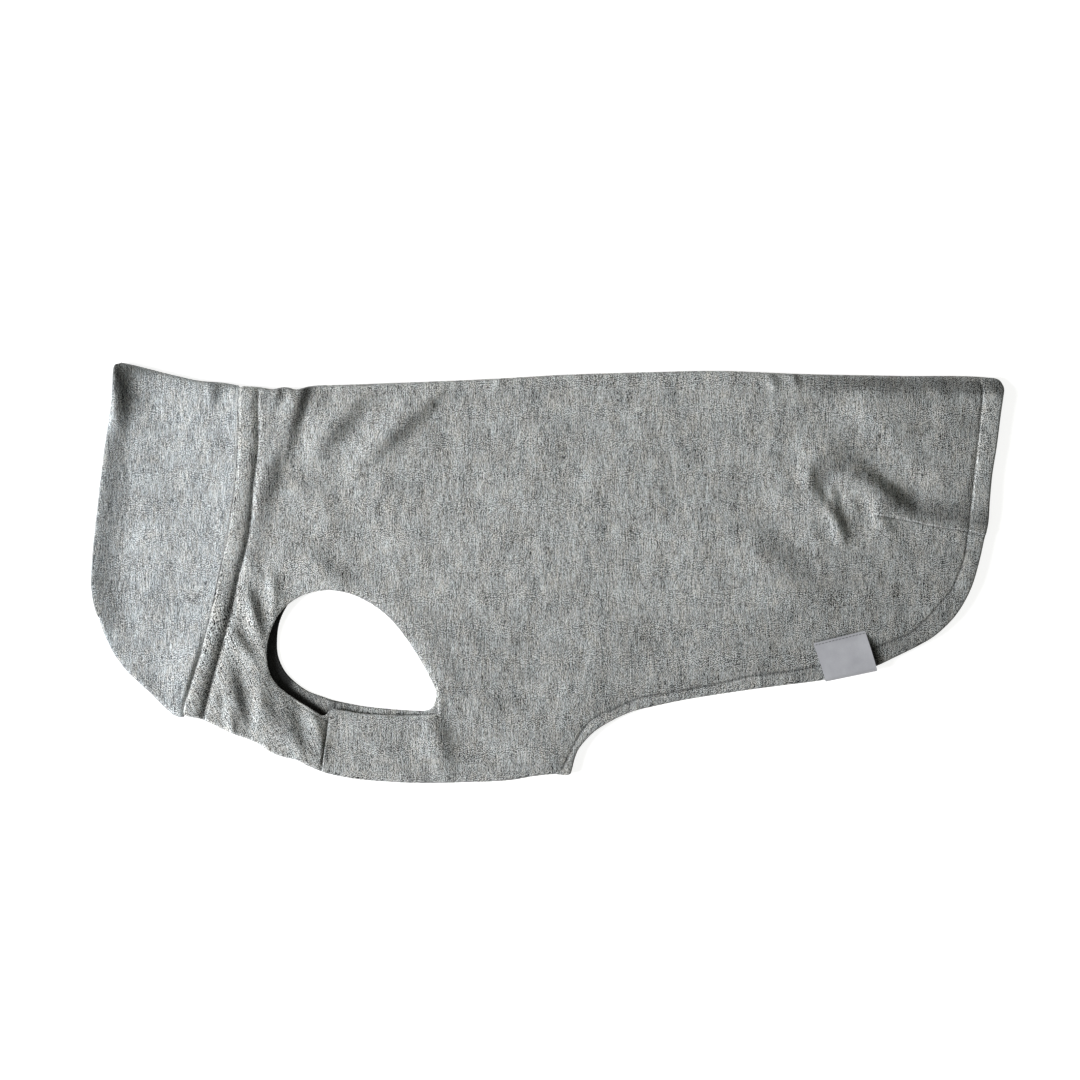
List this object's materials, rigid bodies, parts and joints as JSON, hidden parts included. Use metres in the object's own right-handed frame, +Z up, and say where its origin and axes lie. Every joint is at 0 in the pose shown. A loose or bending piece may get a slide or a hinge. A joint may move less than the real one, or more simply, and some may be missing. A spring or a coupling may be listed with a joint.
{
  "type": "dog t-shirt",
  "caption": "Pullover jersey shirt for a slim dog, with a high doubled collar, sleeveless armholes, a short belly strap and a long back, laid flat on its side.",
  "frame": {"origin": "on the surface that the shirt lies on, under the middle of its bounding box", "axes": "+X from the neck to the tail along the back, +Y from the belly to the back, +Z up out of the surface"},
  "size_m": [0.5463, 0.2531, 0.0076],
  "materials": {
    "body_jersey": "matt grey melange cotton jersey",
    "collar_jersey": "matt grey melange cotton jersey, doubled",
    "ribbon": "lilac-grey satin ribbon, bare"
  },
  "bodies": {
    "root": {"body": "body_jersey", "collar": "collar_jersey", "label": "ribbon"}
  },
  "joints": []
}
